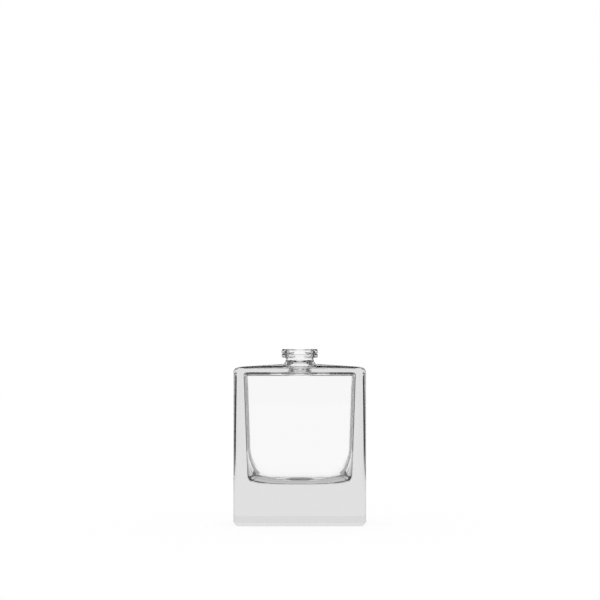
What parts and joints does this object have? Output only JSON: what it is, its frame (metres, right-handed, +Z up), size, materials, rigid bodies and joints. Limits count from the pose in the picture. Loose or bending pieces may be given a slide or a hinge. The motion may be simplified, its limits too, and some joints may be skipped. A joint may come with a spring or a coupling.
{
  "type": "glass flacon",
  "caption": "Bare clear glass flacon with a heavy solid base, domed shoulder, open cavity and a ringed crimp neck.",
  "frame": {"origin": "centre of the base, on the surface that the flacon stands on", "axes": "+Z up along the neck, X across the broad faces, Y through the glass from front to back"},
  "size_m": [0.0538, 0.025, 0.0718],
  "materials": {
    "clear_glass": "fire-polished clear soda-lime glass"
  },
  "bodies": {
    "root": {"glass_bottle": "clear_glass"}
  },
  "joints": []
}
